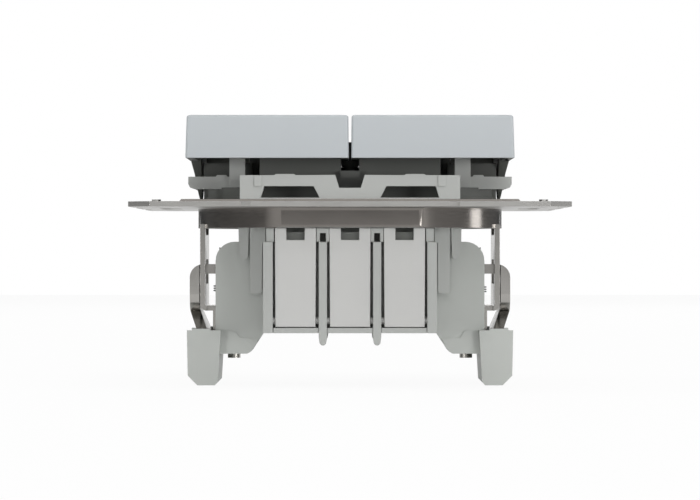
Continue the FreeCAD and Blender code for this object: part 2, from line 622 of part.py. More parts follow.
# The terminal block with its ribs.
def housing():
    y = HOUSING_WALL_Y
    x = HOUSING_HALF_X
    w = HOUSING_WALL
    chamber = BUS_Y - 0.4
    body = box(-x, x, -y, y, HOUSING_BOTTOM, HOUSING_TOP)
    body = body.cut(box(-x + w, x - w, -chamber, chamber, SWITCH_FLOOR, HOUSING_TOP + 1))
    tab = LEVER_TAB_HALF + 0.5
    for cx in (-TERM_PITCH, 0, TERM_PITCH):
        for sy in (-1, 1):
            y0, y1 = sorted((sy * chamber, sy * (y - w)))
            body = body.cut(box(cx - POCKET_HALF, cx + POCKET_HALF, y0, y1, HOUSING_BOTTOM - 1, POCKET_TOP))
            f0, f1 = sorted((sy * (y - w - 1), sy * (y + 1)))
            body = body.cut(box(cx - tab, cx + tab, f0, f1, TAB_BOTTOM - 0.6, TAB_TOP + 0.7))
    body = body.cut(box(-x + 2.0, x - 2.0, -BUS_Y + 2.0, BUS_Y - 2.0, HOUSING_BOTTOM - 1, SWITCH_FLOOR - 1.2))
    body = body.fuse(both_y(both_x(face_ribs())))
    body = body.fuse(box(-0.5, 0.5, -chamber, chamber, COMMON_TOP + 0.2, HOUSING_TOP))
    pin = OUTER_RIB_IN + 0.6
    for sy in (-1, 1):
        body = body.cut(peg_hole(LEVER_PIN_R + RUNNING, (-pin, sy * LEVER_PIN_Y, LEVER_PIN_Z),
                                 (pin, sy * LEVER_PIN_Y, LEVER_PIN_Z), 8))
    return body.removeSplitter()


def face_ribs():
    back = -HOUSING_WALL_Y + CLEAR
    z = INNER_RIB_BOTTOM
    inner = [(INNER_RIB_IN, RIB_TOP), (INNER_RIB_OUT, RIB_TOP), (INNER_RIB_OUT, z + 1.3), (INNER_RIB_OUT - 0.15, z + 0.3),
             (INNER_RIB_OUT - 0.5, z), (INNER_RIB_IN + 0.45, z), (INNER_RIB_IN + 0.15, z + 0.3), (INNER_RIB_IN, z + 1.3)]
    shape = prism_xz(inner, -RIB_FRONT, back)
    shape = shape.fuse(box(OUTER_RIB_IN, OUTER_RIB_OUT, -RIB_FRONT + 0.2, back, COVER_BOTTOM, RIB_TOP))
    yoke = box(YOKE_IN, YOKE_OUT, -LEVER_FRONT, back, RIB_TOP, FACE_TOP)
    yoke = yoke.cut(box(YOKE_IN + 0.55, YOKE_OUT - 0.55, -LEVER_FRONT - 1, back - 0.5, RIB_TOP - 1, FACE_TOP - 0.81))
    shape = shape.fuse(yoke)
    return shape.fuse(box(OUTER_RIB_IN - 0.2, HOUSING_HALF_X - 0.2, -LEVER_FRONT + 0.2, back, RIB_TOP, FACE_TOP))


# The plate that closes the terminal block, with two wire entries for each terminal.
def rear_cover():
    x = HOUSING_HALF_X
    wall = HOUSING_WALL_Y
    ledge_x = OUTER_RIB_IN - 0.1
    body = box(-x, x, -wall, wall, COVER_BOTTOM, HOUSING_BOTTOM)
    for sy in (-1, 1):
        y0, y1 = sorted((sy * (wall - 1), sy * (RIB_FRONT - CLEAR)))
        ledge = box(-ledge_x, ledge_x, y0, y1, COVER_BOTTOM, LEDGE_TOP)
        for sx in (-1, 1):
            x0, x1 = sorted((sx * (INNER_RIB_IN - RUNNING), sx * (INNER_RIB_OUT + RUNNING)))
            c0, c1 = sorted((sy * (wall - 0.4), sy * (RIB_FRONT + 1)))
            ledge = ledge.cut(box(x0, x1, c0, c1, COVER_BOTTOM - 1, LEDGE_TOP + 1))
        body = body.fuse(ledge)
    for sx in (-1, 1):
        for sy in (-1, 1):
            for r0, r1 in ((INNER_RIB_IN, INNER_RIB_OUT), (OUTER_RIB_IN, OUTER_RIB_OUT)):
                x0, x1 = sorted((sx * (r0 - RUNNING), sx * (r1 + RUNNING)))
                c0, c1 = sorted((sy * (wall - CLEAR - RUNNING), sy * (wall + 1)))
                body = body.cut(box(x0, x1, c0, c1, COVER_BOTTOM - 1, HOUSING_BOTTOM + 1))
    for cx in (-TERM_PITCH, 0, TERM_PITCH):
        for sy in (-1, 1):
            for dx in (-WIRE_HOLE_DX, WIRE_HOLE_DX):
                x0, y0 = cx + dx, sy * WIRE_HOLE_Y
                body = body.cut(peg_hole(WIRE_HOLE_R, (x0, y0, COVER_BOTTOM - 1), (x0, y0, HOUSING_BOTTOM + 1), 16))
    return body.removeSplitter()


# A release lever: a pale panel that tips inward about a pin at its foot.
def release_lever(x):
    h = LEVER_HALF
    low = LEVER_BOTTOM
    outline = [(x - h, FACE_TOP), (x + h, FACE_TOP), (x + h - 0.1, low), (x - h + 0.1, low)]
    body = prism_xz(outline, -LEVER_FRONT, -LEVER_BACK)
    w = LEVER_WINDOW_HALF
    body = body.cut(box(x - w, x + w, -LEVER_FRONT - 1, -LEVER_FRONT + 1.0, LEVER_WINDOW_BOTTOM, FACE_TOP + 1))
    body = body.cut(box(x - w, x + w, -LEVER_FRONT - 1, -LEVER_BACK + 1, FACE_TOP - 0.65, FACE_TOP + 1))
    tab = LEVER_TAB_HALF
    body = body.fuse(box(x - tab, x + tab, -LEVER_BACK - 0.2, -HOUSING_WALL_Y + 0.6, TAB_BOTTOM, TAB_TOP))
    reach = h + 0.7
    body = body.fuse(peg(LEVER_PIN_R, (x - reach, -LEVER_PIN_Y, LEVER_PIN_Z), (x + reach, -LEVER_PIN_Y, LEVER_PIN_Z), 8))
    return body.removeSplitter()


# The slide on a claw screw: a wing that shields it, open above for a screwdriver, and a foot whose
# ramp spreads the claw's tail.
def claw_guide():
    r = GUIDE_SHOULDER_R
    x, z = GUIDE_IN, GUIDE_BOTTOM
    shoulder = arc_points(GUIDE_OUT - r, GUIDE_TOP - r, r, 90, 0, 7)
    heel = [(FOOT_IN + 0.4, z), (x + 2.9, z), (x + 2.3, z + 0.35), (x + 1.9, z + 1.0)]
    outline = [(x, GUIDE_TOP)] + shoulder + [(GUIDE_OUT, FOOT_TOP - 0.1)] + heel + [(x, z + 3.9)]
    body = prism_xz(outline, -GUIDE_HALF, GUIDE_HALF)
    pad = [(GUIDE_OUT, z + 3.93), (x + 4.8, z + 3.75), (x + 4.2, z + 2.65), (x + 1.1, z + 2.54)] + heel[::-1]
    body = body.fuse(prism_xz(pad, -GUIDE_HALF - 0.25, GUIDE_HALF + 0.25))
    c = FOOT_CHAMFER
    low = FOOT_BOTTOM
    foot = [(FOOT_IN, FOOT_TOP), (FOOT_OUT, FOOT_TOP), (FOOT_OUT - 0.15, low + c), (FOOT_OUT - 0.15 - c, low),
            (FOOT_IN_LOW + 0.5, low), (FOOT_IN_LOW, low + 0.5)]
    body = body.fuse(prism_xz(foot, -FOOT_HALF, FOOT_HALF))
    for sy in (-1, 1):
        y0, y1 = sorted((sy * (FOOT_HALF - FOOT_WALL), sy * FOOT_HALF))
        body = body.fuse(box(FOOT_OUT - 3.8, FOOT_OUT - 0.8, y0, y1, FOOT_TOP, FOOT_TOP + 0.25))
    w = GUIDE_WALL
    body = body.cut(box(x + w, FOOT_OUT, -GUIDE_HALF + w, GUIDE_HALF - w, FOOT_TOP + 1.0, GUIDE_TOP - w))
    half = STRAP_HALF + PLAY
    body = body.cut(box(STRAP_OUT - SHEET - PLAY, STRAP_OUT + PLAY, -half, half,
                        STRAP_BOTTOM - GUIDE_TRAVEL - PLAY, FOOT_TOP + 1.1))
    inner = FOOT_HALF - FOOT_WALL
    ramp = tail_faces()[1] + TAIL_END - RAMP_PLAY
    x0, x1 = FOOT_IN + 0.9, FOOT_OUT + 1.0
    space = [(x0, ramp - x0), (x1, ramp - x1), (x1, FOOT_TOP + 0.01), (x0, FOOT_TOP + 0.01)]
    body = body.cut(prism_xz(space, -inner, inner))
    reach = NUT_HALF_Y + RUNNING
    body = body.cut(box(x - 1, SCREW_X + NUT_HALF_X + RUNNING, -reach, reach, NUT_BOTTOM - RUNNING,
                        NUT_BOTTOM + NUT_H + RUNNING))
    body = body.cut(peg_hole(SCREW_R + 0.1, (SCREW_X, 0, z - 1), (SCREW_X, 0, FOOT_TOP + 2)))
    roof = GUIDE_TOP - w - 1
    body = body.cut(peg_hole(DRIVER_R, (SCREW_X, 0, roof), (SCREW_X, 0, GUIDE_TOP + 1)))
    body = body.cut(box(SCREW_X, GUIDE_OUT + 1, -DRIVER_R, DRIVER_R, roof, GUIDE_TOP + 1))
    return body.removeSplitter()


# Where the outer and the inner face of the claw's tail end.
def tail_faces():
    outer = CLAW_OUT - TAIL_DROP * math.tan(TAIL_SLOPE)
    return outer, outer - CLAW_T / math.cos(TAIL_SLOPE)


# The bent steel claw: arm, column and splayed tail.
def claw():
    inside = CLAW_OUT - CLAW_T
    arm_low = ARM_TOP - CLAW_T
    ro = CLAW_T + 0.6
    cx, cz = CLAW_OUT - ro, ARM_TOP - ro
    bend = arc_points(cx, cz, ro, 75, 0, 6)
    tail_out, tail_in = tail_faces()
    profile = [(inside + 0.02, ARM_TOP - 0.12)] + bend
    profile += [(CLAW_OUT, COLUMN_BOTTOM), (tail_out, TAIL_END), (tail_in, TAIL_END), (inside, COLUMN_BOTTOM + 0.4)]
    body = prism_xz(profile, -TAIL_HALF, TAIL_HALF)
    r = 2.9
    right = arc_points(CLAW_HALF - r, COLUMN_BOTTOM + r, r, 0, -90, 6)
    right += [(CLAW_HALF - 2.6, COLUMN_BOTTOM - 0.1), (TAIL_HALF, TAIL_END + 1.2), (TAIL_HALF, TAIL_END - 0.1)]
    face = [(CLAW_HALF, ARM_TOP + 1)] + right
    face += [(-y, z) for y, z in reversed(face)]
    body = body.common(prism_yz(face, tail_in - 1, CLAW_OUT + 1))
    arm = box(ARM_IN, cx, -ARM_HALF, ARM_HALF, arm_low, ARM_TOP)
    arm_bend = [(cx, ARM_TOP)] + bend + [(inside + 0.3, cz), (cx, arm_low)]
    arm = arm.fuse(prism_xz(arm_bend, -ARM_HALF, ARM_HALF))
    arm = arm.cut(peg_hole(ARM_HOLE_R, (SCREW_X, 0, arm_low - 1), (SCREW_X, 0, ARM_TOP + 1)))
    return body.fuse(arm).removeSplitter()


# The square nut held in the slide, which the screw draws up.
def claw_nut():
    body = box(SCREW_X - NUT_HALF_X, SCREW_X + NUT_HALF_X, -NUT_HALF_Y, NUT_HALF_Y, NUT_BOTTOM, NUT_BOTTOM + NUT_H)
    return body.cut(peg_hole(SCREW_R + RUNNING, (SCREW_X, 0, NUT_BOTTOM - 1), (SCREW_X, 0, NUT_BOTTOM + NUT_H + 1)))


# The screw whose head rests on the claw's arm, inside the wing.
def claw_screw():
    body = rod(SCREW_R, (SCREW_X, 0, SCREW_TIP + 1.0), (SCREW_X, 0, SCREW_SEAT + 0.2))
    body = body.fuse(rod(SCREW_TIP_R, (SCREW_X, 0, SCREW_TIP), (SCREW_X, 0, SCREW_TIP + 1.2)))
    head_top = SCREW_SEAT + SCREW_HEAD_H
    body = body.fuse(rod(SCREW_HEAD_R, (SCREW_X, 0, SCREW_SEAT), (SCREW_X, 0, head_top)))
    for a, b in ((0.35, 1.9), (1.9, 0.35)):
        body = body.cut(box(SCREW_X - a, SCREW_X + a, -b, b, head_top - 0.9, head_top + 1))
    return body.removeSplitter()


# The return spring: a short coil about the screw and a wire led up to the shoulder of the slide.
def claw_spring():
    w = COIL_WIRE
    top = COIL_TOP
    low = COIL_TOP - COIL_H
    x, y = SCREW_X, -WIRE_Y
    coil = peg(COIL_R, (x, 0, low), (x, 0, top), 16)
    coil = coil.cut(peg(COIL_R - w, (x, 0, low - 1), (x, 0, top + 1), 16))
    wire_z = GUIDE_TOP - GUIDE_WALL - 0.5
    end = GUIDE_OUT - 0.3
    coil = coil.fuse(box(x - w / 2, x + w / 2, y, -COIL_R + 0.1, top - w, top))
    coil = coil.fuse(box(x - w / 2, x + w / 2, y - w / 2, y + w / 2, top - w, wire_z))
    coil = coil.fuse(box(x - w / 2, end + 0.1, y - w / 2, y + w / 2, wire_z - w, wire_z))
    coil = coil.fuse(box(end - 0.2, end + 0.2, y - w / 2, y + w / 2, wire_z - w, wire_z + 0.55))
    return coil.removeSplitter()


def main():
    shapes = {"support_plate": support_plate(), "carrier": carrier(), "housing": housing(), "rear_cover": rear_cover()}
    right_side = {"rocker": rocker_cap, "toggle": toggle, "plunger": plunger, "plunger_spring": plunger_spring,
                  "contact_bridge": contact_bridge, "claw_guide": claw_guide, "claw": claw, "claw_nut": claw_nut,
                  "claw_screw": claw_screw, "claw_spring": claw_spring}
    for name, make in right_side.items():
        shape = make()
        shapes[name + "_right"] = shape
        shapes[name + "_left"] = mirror_x(shape)
    common = common_terminal()
    shapes["common_terminal_right"] = common
    shapes["common_terminal_left"] = mirror_x(mirror_y(common))
    traveller = traveller_terminal()
    shapes["traveller_terminal_rear_right"] = traveller
    shapes["traveller_terminal_rear_left"] = mirror_x(traveller)
    shapes["traveller_terminal_front_right"] = mirror_y(traveller)
    shapes["traveller_terminal_front_left"] = mirror_x(mirror_y(traveller))
    for place, x in (("left", -TERM_PITCH), ("middle", 0.0), ("right", TERM_PITCH)):
        spring = clamp_spring(x)
        shapes["clamp_spring_rear_" + place] = spring
        shapes["clamp_spring_front_" + place] = mirror_y(spring)
        lever = release_lever(x)
        shapes["release_lever_front_" + place] = lever
        shapes["release_lever_rear_" + place] = mirror_y(lever)
    for name, shape in shapes.items():
        shape.exportStep("parts/" + name + ".step")


main()
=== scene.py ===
import json
import math

import bmesh
import bpy
from mathutils import Matrix, Vector


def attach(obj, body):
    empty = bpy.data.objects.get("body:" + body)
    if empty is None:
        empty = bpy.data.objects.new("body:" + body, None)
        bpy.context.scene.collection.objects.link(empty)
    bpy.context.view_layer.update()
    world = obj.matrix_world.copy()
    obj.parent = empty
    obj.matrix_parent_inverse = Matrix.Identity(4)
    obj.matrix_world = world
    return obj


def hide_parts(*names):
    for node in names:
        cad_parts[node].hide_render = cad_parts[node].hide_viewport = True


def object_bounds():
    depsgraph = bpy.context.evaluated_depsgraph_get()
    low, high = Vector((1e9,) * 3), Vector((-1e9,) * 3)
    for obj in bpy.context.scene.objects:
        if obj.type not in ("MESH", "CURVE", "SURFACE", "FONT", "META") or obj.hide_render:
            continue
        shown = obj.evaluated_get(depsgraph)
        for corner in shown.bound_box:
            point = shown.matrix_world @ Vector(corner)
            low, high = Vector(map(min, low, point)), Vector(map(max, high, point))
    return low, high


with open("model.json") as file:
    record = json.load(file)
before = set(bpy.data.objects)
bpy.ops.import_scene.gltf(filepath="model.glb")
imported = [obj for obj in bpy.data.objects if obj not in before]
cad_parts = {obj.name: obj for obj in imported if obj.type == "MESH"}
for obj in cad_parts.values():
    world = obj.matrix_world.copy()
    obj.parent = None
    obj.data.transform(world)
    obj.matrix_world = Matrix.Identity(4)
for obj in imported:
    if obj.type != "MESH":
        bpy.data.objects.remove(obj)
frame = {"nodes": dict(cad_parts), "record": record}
nodes = frame["nodes"]
cad_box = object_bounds()

MM = 0.001
SIDES = (("left", -1), ("right", 1))
ROWS = ("front", "rear")
PLACES = ("left", "middle", "right")

# All sizes below are in millimetres, up to the materials.

# Radii of the rounded edges
EDGE_R = 0.12
WIDE_EDGE_R = 0.15
FINE_EDGE_R = 0.1

# The claw screws: the thread runs from SCREW_END up to THREAD_TOP
SCREW_X = 19.55
SCREW_R = 1.25
SCREW_CORE_R = 1.0
SCREW_PITCH = 0.45
SCREW_END = -24.1
THREAD_TOP = -9.6
# Only the shank's points lie this far from the screw's axis
SHANK_BAND = (1.1, 1.4)

# The claw springs: turns round the screw, and a wire that runs up to the claw guide's shoulder
COIL_R = 3.4
COIL_TOP = -12.9
COIL_PITCH = 0.38
COIL_TURNS = 2.75
COIL_WIRE_R = 0.11
WIRE_Y = -5.2
WIRE_BEND_R = 0.3
SHOULDER_X = 2.2
SHOULDER_Z = -6.6
WIRE_DROP = 0.5
HOOK_L = 1.0

# The support plate: its collar, and the step round its raised middle
COLLAR_R = 25.6
COLLAR_FLAT = 22.8
COLLAR_FOOT = -4.2
COLLAR_CORNER_R = 0.5
COLLAR_SKIN = 0.2
PLATE_TOP = 1.3
STEP_Z = (0.87, 1.29)
STEP_OUT = (27.0, 27.7)

# The carrier: walls across the front and rear, webs, bearings, ring and middle rib, whose faces take painted
# shade
WALL_X = 17.1
WALL_Y = (15.5, 16.7)
WEB_X = 25.3
WEB_Y = (4.9, 6.1)
BEARING_X = 16.5
BEARING_Y = 4.1
RING_IN = 22.9
RING_OUT = (24.2, 24.8)
RING_SIDE_TOP = 3.3
RING_TOP = 3.4
TRUNNION_TOP = 7.08
RIB_TOP = 11.17
RIB_X = 1.43
RIB_Y = 3.45

# The levers' windows, and the housing's wall behind them, which take painted shade
WINDOW_Y = (19.38, 19.42)
WINDOW_FOOT = -5.7
HOUSING_WALL_Y = (17.4, 17.8)
WALL_SHADE = -5.5

# The hollow below a cap, and the rim that its ears hang from; these faces take painted shade
CAP_RIM = 7.9
CAP_ROOF = 13.5
CAP_X = (0.4, 25.25)
CAP_Y = 25.25


def srgb(code):
    parts = [int(code[i:i + 2], 16) / 255 for i in (1, 3, 5)]
    linear = [v / 12.92 if v <= 0.04045 else ((v + 0.055) / 1.055) ** 2.4 for v in parts]
    return (*linear, 1.0)


# Adds one node: its settings and unlinked sockets from values, its linked sockets from links.
def add(tree, kind, values=None, links=None):
    node = tree.nodes.new(kind)
    for key, value in (values or {}).items():
        if isinstance(key, str) and hasattr(node, key):
            setattr(node, key, value)
        else:
            node.inputs[key].default_value = value
    for key, source in (links or {}).items():
        tree.links.new(source, node.inputs[key])
    return node


def new_material(name):
    material = bpy.data.materials.new(name)
    material.use_nodes = True
    tree = material.node_tree
    tree.nodes.clear()
    return material, tree


# The scale of a noise whose blotches are about size_mm across.
def per(size_mm):
    return 1.0 / (size_mm * MM)


# Cloudiness of the gloss: the size of its blotches, and how far the roughness swings either way
PLASTIC_CLOUD_MM = 9.0
PLASTIC_SWING = 0.03
METAL_CLOUD_MM = 6.0
METAL_SWING = 0.07

# The colour sockets of a Mix node
MIX_A, MIX_B, MIX_RESULT = 6, 7, 2


# A moulded plastic: fine spark-eroded grain in the bump, and a faint cloudiness of the gloss.
def moulded(name, colour, roughness, grain_mm, depth_mm, coat=0.0):
    material, tree = new_material(name)
    place = add(tree, "ShaderNodeTexCoord").outputs["Object"]
    grain = add(tree, "ShaderNodeTexNoise", {"Scale": per(grain_mm), "Detail": 3.0}, {"Vector": place})
    cloud = add(tree, "ShaderNodeTexNoise", {"Scale": per(PLASTIC_CLOUD_MM), "Detail": 2.0},
                {"Vector": place})
    gloss = add(tree, "ShaderNodeMapRange",
                {"To Min": roughness - PLASTIC_SWING, "To Max": roughness + PLASTIC_SWING},
                {"Value": cloud.outputs["Fac"]})
    bump = add(tree, "ShaderNodeBump", {"Strength": 0.5, "Distance": depth_mm * MM},
               {"Height": grain.outputs["Fac"]})
    surface = add(tree, "ShaderNodeBsdfPrincipled",
                  {"Base Color": srgb(colour), "IOR": 1.5, "Coat Weight": coat, "Coat Roughness": 0.15},
                  {"Roughness": gloss.outputs["Result"], "Normal": bump.outputs["Normal"]})
    add(tree, "ShaderNodeOutputMaterial", {}, {"Surface": surface.outputs["BSDF"]})
    return material


# A metal with rolling or drawing lines: noise squeezed along one or two axes moves the gloss and the bump.
def worked_metal(name, colour, shade, roughness, squeeze, line_mm, depth_mm):
    material, tree = new_material(name)
    place = add(tree, "ShaderNodeTexCoord").outputs["Object"]
    along = add(tree, "ShaderNodeMapping", {"Scale": squeeze}, {"Vector": place})
    lines = add(tree, "ShaderNodeTexNoise", {"Scale": per(line_mm), "Detail": 4.0},
                {"Vector": along.outputs["Vector"]})
    cloud = add(tree, "ShaderNodeTexNoise", {"Scale": per(METAL_CLOUD_MM), "Detail": 3.0},
                {"Vector": place})
    tint = add(tree, "ShaderNodeMix", {"data_type": "RGBA"}, {"Factor": cloud.outputs["Fac"]})
    tint.inputs[MIX_A].default_value = srgb(colour)
    tint.inputs[MIX_B].default_value = srgb(shade)
    gloss = add(tree, "ShaderNodeMapRange",
                {"To Min": roughness - METAL_SWING, "To Max": roughness + METAL_SWING},
                {"Value": lines.outputs["Fac"]})
    bump = add(tree, "ShaderNodeBump", {"Strength": 0.4, "Distance": depth_mm * MM},
               {"Height": lines.outputs["Fac"]})
    surface = add(tree, "ShaderNodeBsdfPrincipled", {"Metallic": 1.0},
                  {"Base Color": tint.outputs[MIX_RESULT], "Roughness": gloss.outputs["Result"],
                   "Normal": bump.outputs["Normal"]})
    add(tree, "ShaderNodeOutputMaterial", {}, {"Surface": surface.outputs["BSDF"]})
    return material


materials = {material.name: material for material in (
    # Urea resin pressed in a smooth die: cool pale grey, half gloss.
    moulded("urea_rocker", "#B4B9BC", roughness=0.5, grain_mm=0.5, depth_mm=0.002),
    # Polycarbonate toggles, dark grey, with the fine matt of an eroded die; the same dark grey goes on faces
    # of other parts as painted shade.
    moulded("toggle_grey_and_painted_shade", "#5E605C", roughness=0.5, grain_mm=0.35, depth_mm=0.006),
    moulded("plunger_acetal", "#D2D2CE", roughness=0.4, grain_mm=0.4, depth_mm=0.002),
    # Polycarbonate frame, light grey, satin.
    moulded("carrier_polycarbonate", "#B8BAB7", roughness=0.5, grain_mm=0.35, depth_mm=0.005),
    # Terminal block and its cover in glass-filled polyamide, light grey, dry satin.
    moulded("housing_polyamide", "#ADAFAC", roughness=0.52, grain_mm=0.4, depth_mm=0.006),
    moulded("lever_polycarbonate", "#C4C4C2", roughness=0.36, grain_mm=0.5, depth_mm=0.003, coat=0.1),
    moulded("guide_polyamide", "#BBBEBA", roughness=0.5, grain_mm=0.4, depth_mm=0.006),
    # Galvanised strip: satin, with rolling lines across the plate.
    worked_metal("galvanised_strip", "#ABAAA7", "#9D9C99", roughness=0.36, squeeze=(1.0, 8.0, 8.0),
                 line_mm=2.4, depth_mm=0.002),
    # Steel of the collar and the step: smoother, with fine rings, and darker in colour as painted dark
    # reflection and painted shade.
    worked_metal("smooth_steel_painted_dark", "#7E7A76", "#706C68", roughness=0.16, squeeze=(1.0, 1.0, 12.0),
                 line_mm=2.0, depth_mm=0.0003),
    worked_metal("claw_strip", "#A9A7A3", "#9F9D99", roughness=0.22, squeeze=(1.0, 1.0, 6.0),
                 line_mm=1.6, depth_mm=0.0002),
    worked_metal("plated_screw", "#9C9A95", "#86847F", roughness=0.2, squeeze=(1.0, 1.0, 4.0),
                 line_mm=1.0, depth_mm=0.001),
    worked_metal("spring_wire", "#45433F", "#363430", roughness=0.34, squeeze=(1.0, 1.0, 1.0),
                 line_mm=0.8, depth_mm=0.001),
    worked_metal("rolled_brass", "#C9A668", "#B8955A", roughness=0.3, squeeze=(1.0, 6.0, 6.0),
                 line_mm=1.5, depth_mm=0.001),
)}

# The finish of each of the solids' material slots
FINISH = {
    "rocker_plastic": "urea_rocker",
    "toggle_plastic": "toggle_grey_and_painted_shade",
    "plunger_plastic": "plunger_acetal",
    "carrier_plastic": "carrier_polycarbonate",
    "housing_plastic": "housing_polyamide",
    "lever_plastic": "lever_polycarbonate",
    "guide_plastic": "guide_polyamide",
    "plate_steel": "galvanised_strip",
    "claw_steel": "claw_strip",
    "screw_steel": "plated_screw",
    "spring_steel": "spring_wire",
    "contact_brass": "rolled_brass",
}
SLOT_OF = {part["node"]: part["material_slot"] for part in frame["record"]["subparts"]}
BODY_OF = {node: body for body, members in frame["record"]["behaviour"]["bodies"].items() for node in members}

# How near two points count as one, and how near a point counts as on the cut, in metres
WELD = 1e-6
CUT_SLACK = 1e-7
# Angles in degrees: below the first, faces are one flat face; above the second, an edge is rounded;
# above the others, it is shaded sharp
FLAT_ANGLE = 0.5
ROUND_ANGLE = 28
SHARP_ANGLE = 40
THREAD_SHARP_ANGLE = 30


def piece(name, mesh):
    obj = bpy.data.objects.new(name, mesh)
    bpy.context.scene.collection.objects.link(obj)
    return obj


# Gives obj the mesh that its modifiers work out, and drops the modifiers.
def settled(obj):
    bpy.context.view_layer.update()
    made = bpy.data.meshes.new_from_object(obj.evaluated_get(bpy.context.evaluated_depsgraph_get()))
    obj.modifiers.clear()
    obj.data = made
    return obj


def smooth_by_angle(mesh, degrees):
    mesh.shade_smooth()
    mesh.set_sharp_from_angle(angle=math.radians(degrees))


# The merged mesh of a solid, changed by a function where one is given.
def merged(node, change=None):
    mesh = nodes[node].data.copy()
    mesh.name = node + "_finished"
    mesh.materials.clear()
    mesh.materials.append(materials[FINISH[SLOT_OF[node]]])
    bm = bmesh.new()
    bm.from_mesh(mesh)
    bmesh.ops.remove_doubles(bm, verts=bm.verts, dist=WELD)
    bmesh.ops.dissolve_limit(bm, angle_limit=math.radians(FLAT_ANGLE), verts=bm.verts, edges=bm.edges)
    if change:
        change(bm)
    bm.to_mesh(mesh)
    bm.free()
    return mesh


# obj stands for a solid and moves with its body.
def stands_for(obj, node):
    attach(obj, BODY_OF[node])
    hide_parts(node)


# A copy of a solid with its edges rounded, which stands for it; its large faces keep their own flat shading.
def softened(node, radius_mm, change=None):
    obj = piece(node + "_finished", merged(node, change))
    bevel = obj.modifiers.new("edges", "BEVEL")
    bevel.width = radius_mm * MM
    bevel.segments = 2
    bevel.limit_method = "ANGLE"
    bevel.angle_limit = math.radians(ROUND_ANGLE)
    settled(obj)
    smooth_by_angle(obj.data, SHARP_ANGLE)
    obj.modifiers.new("flat_faces", "WEIGHTED_NORMAL").keep_sharp = True
    settled(obj)
    stands_for(obj, node)
    return obj


# The faces that a rule picks by their centres, given in millimetres, get another material.
def painted(obj, material, picked):
    obj.data.materials.append(materials[material])
    for face in obj.data.polygons:
        if picked(face.center / MM):
            face.material_index = len(obj.data.materials) - 1
    return obj


# The faces that get the darker steel: the collar's outside, as painted dark reflection, and the step round
# the raised middle, as a painted shade line.
def painted_dark_faces(c):
    round_part = math.hypot(c.x, c.y) > COLLAR_R - COLLAR_SKIN
    on_collar = COLLAR_FOOT < c.z < 0 and (round_part or abs(c.y) > COLLAR_FLAT - COLLAR_SKIN)
    on_step = STEP_Z[0] < c.z < STEP_Z[1] and STEP_OUT[0] < max(abs(c.x), abs(c.y)) < STEP_OUT[1]
    return on_collar or on_step


def on_legs(c):
    return c.z < COLLAR_FOOT


# The frame's walls, webs, bearings, middle rib and ring, which stand in the shade of the caps; they get the
# dark grey plastic as painted shade.
def frame_painted_shade(c):
    x, y, away = abs(c.x), abs(c.y), math.hypot(c.x, c.y)
    on_wall = x < WALL_X and WALL_Y[0] < y < WALL_Y[1]
    on_web = x < WEB_X and WEB_Y[0] < y < WEB_Y[1] and (away < RING_IN or c.z > RING_TOP)
    on_bearing = x < BEARING_X and y < BEARING_Y
    on_ring = RING_OUT[0] < away < RING_OUT[1] and c.z < RING_SIDE_TOP
    return c.z > PLATE_TOP and (on_wall or on_web or on_bearing or on_ring)


# A cap's ears and the whole of its inside, which get the dark grey plastic as painted shade.
def cap_inside_painted_shade(c):
    inside = CAP_X[0] < abs(c.x) < CAP_X[1] and abs(c.y) < CAP_Y and c.z < CAP_ROOF
    return c.z < CAP_RIM or inside


# The sunk face in a lever's window, and the wall that shows above it; both get the dark grey plastic as
# painted shade.
def lever_window_painted_shade(c):
    return WINDOW_Y[0] < abs(c.y) < WINDOW_Y[1] and c.z > WINDOW_FOOT


def wall_behind_window_painted_shade(c):
    return HOUSING_WALL_Y[0] < abs(c.y) < HOUSING_WALL_Y[1] and c.z > WALL_SHADE


# The wall's upper band, behind the levers' windows, becomes faces of its own, which take painted shade.
def part_wall(bm):
    whole = bm.verts[:] + bm.edges[:] + bm.faces[:]
    bmesh.ops.bisect_plane(bm, geom=whole, dist=CUT_SLACK, plane_co=(0, 0, WALL_SHADE * MM),
                           plane_no=(0, 0, 1))


# The frame's middle rib is thicker above the trunnions, up to the toggles' sides.
def thicken_rib(bm):
    middle = Vector((0, 0, (TRUNNION_TOP + RIB_TOP) / 2)) * MM
    sizes = Vector((2 * RIB_X, 2 * RIB_Y, RIB_TOP - TRUNNION_TOP)) * MM
    bmesh.ops.create_cube(bm, size=1.0, matrix=Matrix.LocRotScale(middle, None, sizes))


# The die leaves a rounded line where the collar's flats meet its round part.
def round_collar_corners(bm):
    half = math.sqrt(COLLAR_R ** 2 - COLLAR_FLAT ** 2) * MM
    flat = COLLAR_FLAT * MM
    near = 0.05 * MM

    def at_corner(v):
        return abs(abs(v.co.x) - half) < near and abs(abs(v.co.y) - flat) < near

    upright = [e for e in bm.edges if all(at_corner(v) for v in e.verts)]
    bmesh.ops.bevel(bm, geom=upright, offset=COLLAR_CORNER_R * MM, offset_type="OFFSET", segments=3,
                    profile=0.5, affect="EDGES")


# The shank is turned down to the root of the thread that is laid on it.
def turn_down_shank(bm):
    for v in bm.verts:
        away = Vector((abs(v.co.x) - SCREW_X * MM, v.co.y))
        if SHANK_BAND[0] * MM < away.length < SHANK_BAND[1] * MM:
            share = SCREW_CORE_R * MM / away.length
            v.co.x = math.copysign(SCREW_X * MM + away.x * share, v.co.x)
            v.co.y = away.y * share


# A tree that makes one repeating form, with its sizes as named inputs.
def geometry_tree(name, inputs):
    tree = bpy.data.node_groups.new(name, "GeometryNodeTree")
    tree.interface.new_socket("Geometry", in_out="OUTPUT", socket_type="NodeSocketGeometry")
    tree.interface.new_socket("Geometry", in_out="INPUT", socket_type="NodeSocketGeometry")
    for label, value in inputs.items():
        socket = tree.interface.new_socket(label, in_out="INPUT", socket_type="NodeSocketFloat")
        socket.default_value = value
    return tree, add(tree, "NodeGroupInput").outputs


